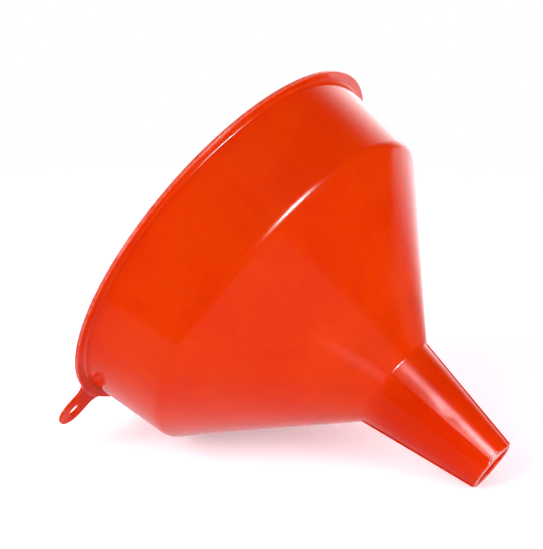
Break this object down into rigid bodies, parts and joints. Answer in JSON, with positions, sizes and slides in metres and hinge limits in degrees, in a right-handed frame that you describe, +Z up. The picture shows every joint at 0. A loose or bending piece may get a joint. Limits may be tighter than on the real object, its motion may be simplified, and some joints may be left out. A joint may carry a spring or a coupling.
{
  "type": "funnel",
  "caption": "Wide moulded plastic funnel with a flat rim, a hang tab, a 45 degree cone, a ribbed tapered spout and a lift-out strainer.",
  "frame": {"origin": "centre of the spout's outlet, on its end face", "axes": "+Z up the funnel's axis towards the mouth, -X towards the hang tab, +X on the side of the spout's raised half"},
  "size_m": [0.22, 0.2, 0.17],
  "materials": {
    "funnel_plastic": "glossy, slightly translucent polypropylene",
    "strainer_plastic": "satin polypropylene",
    "gauze_wire": "drawn stainless wire"
  },
  "bodies": {
    "funnel": {"funnel_body": "funnel_plastic"},
    "strainer": {"strainer_seat_ring": "strainer_plastic", "strainer_clamp_ring": "strainer_plastic", "mesh_warp_wires": "gauze_wire", "mesh_weft_wires": "gauze_wire"}
  },
  "joints": [
    {"name": "strainer_lift", "type": "slide", "parent": "funnel", "child": "strainer", "axis": [0, 0, 1], "range_m": [0, 0.13]}
  ]
}
